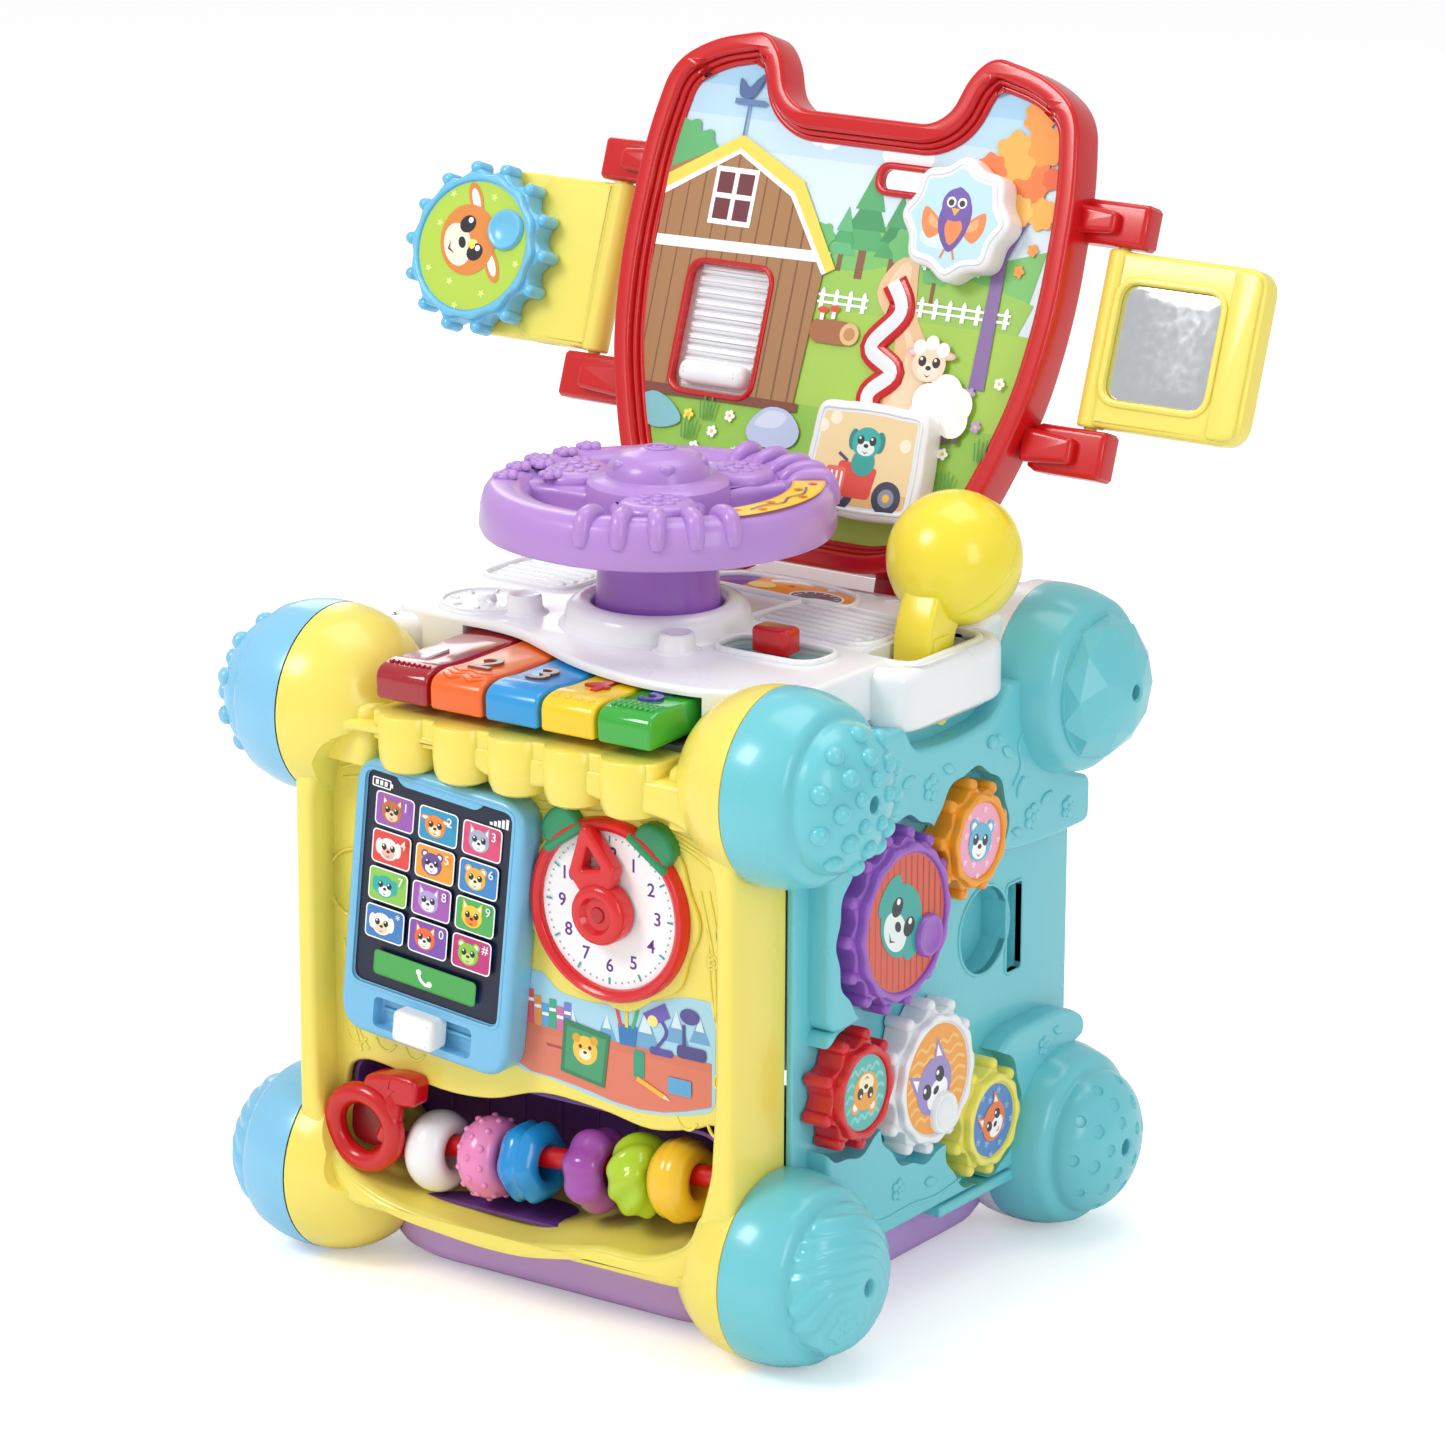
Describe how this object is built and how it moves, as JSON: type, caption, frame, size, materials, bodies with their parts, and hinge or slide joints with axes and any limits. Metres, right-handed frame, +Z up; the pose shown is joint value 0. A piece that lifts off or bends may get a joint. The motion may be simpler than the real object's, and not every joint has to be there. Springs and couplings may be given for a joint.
{
  "type": "baby activity cube",
  "caption": "Box-shaped activity toy on round corners with a phone, clock, bead rail, piano keys, steering wheel, gears and a fold-down play panel.",
  "frame": {"origin": "centre of the flat underside of the base, on the floor", "axes": "+Z up; -Y is the front with the phone and clock; +X is the side with the five gears; the play panel stands at +Y"},
  "size_m": [0.4474, 0.3081, 0.5159],
  "materials": {
    "yellow_shell": "semi-gloss moulded ABS",
    "teal_shell": "semi-gloss moulded ABS",
    "blue_shell": "semi-gloss moulded ABS",
    "white_shell": "semi-gloss moulded ABS",
    "wheel_purple": "satin moulded ABS",
    "deep_purple": "satin moulded ABS",
    "lilac_base": "satin moulded polypropylene",
    "red_plastic": "glossy moulded ABS",
    "orange_plastic": "glossy moulded ABS",
    "clear_red": "glossy translucent polystyrene",
    "key_blue": "glossy moulded ABS",
    "key_yellow": "glossy moulded ABS",
    "clear_green": "glossy translucent polystyrene",
    "bead_pink": "glossy moulded ABS",
    "bead_lime": "glossy moulded ABS",
    "picture_sheet": "printed polypropylene sheet",
    "phone_window": "glossy printed sheet",
    "mirror_film": "mirrored acrylic",
    "steel": "zinc-plated steel",
    "battery_can": "painted steel can",
    "circuit": "solder-masked board",
    "black_parts": "black paper cone and steel",
    "rubber_strip": "silicone rubber"
  },
  "bodies": {
    "cube_body": {"front_panel": "yellow_shell", "right_side_panel": "teal_shell", "left_side_panel": "blue_shell", "top_console": "white_shell", "back_panel": "white_shell", "clock_dial": "white_shell", "bead_tray": "deep_purple", "base_plate": "lilac_base", "battery_door": "lilac_base", "bead_rail": "red_plastic", "right_screw_front_low": "steel", "right_screw_front_high": "steel", "right_screw_rear_low": "steel", "right_screw_rear_high": "steel", "left_screw_front_low": "steel", "left_screw_front_high": "steel", "left_screw_rear_low": "steel", "left_screw_rear_high": "steel", "battery_door_screw": "steel", "panel_hinge_pin": "steel", "battery_1": "battery_can", "battery_2": "battery_can", "battery_3": "battery_can", "circuit_board": "circuit", "speaker": "black_parts", "key_contact_strip": "rubber_strip"},
    "steering": {"steering_wheel": "wheel_purple", "steering_column": "deep_purple"},
    "gear_lever": {"gear_lever": "yellow_shell"},
    "power_switch": {"power_switch": "red_plastic"},
    "key_1": {"key_1": "clear_red"},
    "key_2": {"key_2": "orange_plastic"},
    "key_3": {"key_3": "key_blue"},
    "key_4": {"key_4": "key_yellow"},
    "key_5": {"key_5": "clear_green"},
    "clock_hand": {"clock_hand": "red_plastic"},
    "phone": {"phone_case": "blue_shell", "phone_screen": "phone_window"},
    "phone_slider": {"phone_slider": "white_shell"},
    "bead_white": {"bead_white": "white_shell"},
    "bead_pink": {"bead_pink": "bead_pink"},
    "bead_blue": {"bead_blue": "key_blue"},
    "bead_purple": {"bead_purple": "deep_purple"},
    "bead_lime": {"bead_lime": "bead_lime"},
    "bead_yellow": {"bead_yellow": "key_yellow"},
    "gear_purple": {"gear_purple": "wheel_purple"},
    "gear_orange": {"gear_orange": "orange_plastic"},
    "gear_white": {"gear_white": "white_shell"},
    "gear_red": {"gear_red": "red_plastic"},
    "gear_yellow": {"gear_yellow": "yellow_shell"},
    "play_panel": {"play_panel_frame": "red_plastic", "scene_board": "picture_sheet"},
    "shutter": {"shutter": "white_shell"},
    "bird_slider": {"bird_slider": "white_shell"},
    "dog_slider": {"dog_slider": "white_shell"},
    "left_flap": {"left_flap": "yellow_shell"},
    "right_flap": {"right_flap": "yellow_shell", "flap_mirror": "mirror_film"},
    "flap_gear": {"flap_gear": "blue_shell"}
  },
  "joints": [
    {"name": "steering_turn", "type": "hinge", "parent": "cube_body", "child": "steering", "pos_m": [0, -0.0255, 0.3], "axis": [0, 0, 1], "range_deg": [-90, 90]},
    {"name": "lever_tilt", "type": "hinge", "parent": "cube_body", "child": "gear_lever", "pos_m": [0.112, 0.012, 0.258], "axis": [1, 0, 0], "range_deg": [-5, 28]},
    {"name": "switch_slide", "type": "slide", "parent": "cube_body", "child": "power_switch", "axis": [1, 0, 0], "range_m": [-0.008, 0.008]},
    {"name": "key_1_press", "type": "hinge", "parent": "cube_body", "child": "key_1", "pos_m": [-0.057, -0.062, 0.274], "axis": [1, 0, 0], "range_deg": [0, 3.5], "stiffness_Nm_per_rad": 0.8, "springref_deg": -5.73},
    {"name": "key_2_press", "type": "hinge", "parent": "cube_body", "child": "key_2", "pos_m": [-0.028, -0.062, 0.274], "axis": [1, 0, 0], "range_deg": [0, 3.5], "stiffness_Nm_per_rad": 0.8, "springref_deg": -5.73},
    {"name": "key_3_press", "type": "hinge", "parent": "cube_body", "child": "key_3", "pos_m": [0.001, -0.062, 0.274], "axis": [1, 0, 0], "range_deg": [0, 3.5], "stiffness_Nm_per_rad": 0.8, "springref_deg": -5.73},
    {"name": "key_4_press", "type": "hinge", "parent": "cube_body", "child": "key_4", "pos_m": [0.03, -0.062, 0.274], "axis": [1, 0, 0], "range_deg": [0, 3.5], "stiffness_Nm_per_rad": 0.8, "springref_deg": -5.73},
    {"name": "key_5_press", "type": "hinge", "parent": "cube_body", "child": "key_5", "pos_m": [0.059, -0.062, 0.274], "axis": [1, 0, 0], "range_deg": [0, 3.5], "stiffness_Nm_per_rad": 0.8, "springref_deg": -5.73},
    {"name": "clock_turn", "type": "hinge", "parent": "cube_body", "child": "clock_hand", "pos_m": [0.044, -0.125, 0.1905], "axis": [0, -1, 0], "continuous": true},
    {"name": "phone_lift", "type": "slide", "parent": "cube_body", "child": "phone", "axis": [0, -1, 0], "range_m": [0, 0.06]},
    {"name": "phone_slider_slide", "type": "slide", "parent": "phone", "child": "phone_slider", "axis": [0.995, 0, -0.1002], "range_m": [-0.018, 0.018]},
    {"name": "bead_white_slide", "type": "slide", "parent": "cube_body", "child": "bead_white", "axis": [0.994, 0, 0.1093], "range_m": [-0.002, 0.008]},
    {"name": "bead_pink_slide", "type": "slide", "parent": "cube_body", "child": "bead_pink", "axis": [0.994, 0, 0.1093], "range_m": [-0.008, 0.002]},
    {"name": "bead_blue_slide", "type": "slide", "parent": "cube_body", "child": "bead_blue", "axis": [0.994, 0, 0.1093], "range_m": [-0.002, 0.014]},
    {"name": "bead_purple_slide", "type": "slide", "parent": "cube_body", "child": "bead_purple", "axis": [0.994, 0, 0.1093], "range_m": [-0.014, 0.0035]},
    {"name": "bead_lime_slide", "type": "slide", "parent": "cube_body", "child": "bead_lime", "axis": [0.994, 0, 0.1093], "range_m": [-0.0035, 0.001]},
    {"name": "bead_yellow_slide", "type": "slide", "parent": "cube_body", "child": "bead_yellow", "axis": [0.994, 0, 0.1093], "range_m": [-0.001, 0.012]},
    {"name": "gear_purple_turn", "type": "hinge", "parent": "cube_body", "child": "gear_purple", "pos_m": [0.126, -0.0345, 0.1788], "axis": [1, 0, 0], "continuous": true},
    {"name": "gear_orange_turn", "type": "hinge", "parent": "cube_body", "child": "gear_orange", "pos_m": [0.126, 0.0239, 0.2006], "axis": [1, 0, 0], "continuous": true},
    {"name": "gear_white_turn", "type": "hinge", "parent": "cube_body", "child": "gear_white", "pos_m": [0.126, -0.008, 0.1012], "axis": [1, 0, 0], "continuous": true},
    {"name": "gear_red_turn", "type": "hinge", "parent": "cube_body", "child": "gear_red", "pos_m": [0.126, -0.0641, 0.1112], "axis": [1, 0, 0], "continuous": true},
    {"name": "gear_yellow_turn", "type": "hinge", "parent": "cube_body", "child": "gear_yellow", "pos_m": [0.126, 0.0384, 0.0687], "axis": [1, 0, 0], "continuous": true},
    {"name": "panel_fold", "type": "hinge", "parent": "cube_body", "child": "play_panel", "pos_m": [0, 0.10599, 0.27142], "axis": [-1, 0, 0], "range_deg": [0, 160.7]},
    {"name": "shutter_lift", "type": "slide", "parent": "play_panel", "child": "shutter", "axis": [0, 0.3305, 0.9438], "range_m": [0, 0.04]},
    {"name": "bird_slide", "type": "slide", "parent": "play_panel", "child": "bird_slider", "axis": [-1, 0, 0], "range_m": [0, 0.042]},
    {"name": "dog_slide", "type": "slide", "parent": "play_panel", "child": "dog_slider", "axis": [0, 0.3305, 0.9438], "range_m": [0, 0.058]},
    {"name": "left_flap_fold", "type": "hinge", "parent": "play_panel", "child": "left_flap", "pos_m": [-0.133, 0.12399, 0.40116], "axis": [0, -0.3305, -0.9438], "range_deg": [0, 90]},
    {"name": "right_flap_fold", "type": "hinge", "parent": "play_panel", "child": "right_flap", "pos_m": [0.133, 0.12399, 0.40116], "axis": [0, 0.3305, 0.9438], "range_deg": [0, 90]},
    {"name": "flap_gear_turn", "type": "hinge", "parent": "left_flap", "child": "flap_gear", "pos_m": [-0.198, 0.111, 0.40645], "axis": [0, -0.9438, 0.3305], "continuous": true}
  ],
  "couplings": [
    {"joint": "gear_orange_turn", "follows": "gear_purple_turn", "ratio": -1.5556},
    {"joint": "gear_red_turn", "follows": "gear_white_turn", "ratio": -1.3333},
    {"joint": "gear_yellow_turn", "follows": "gear_white_turn", "ratio": -1.3333}
  ]
}
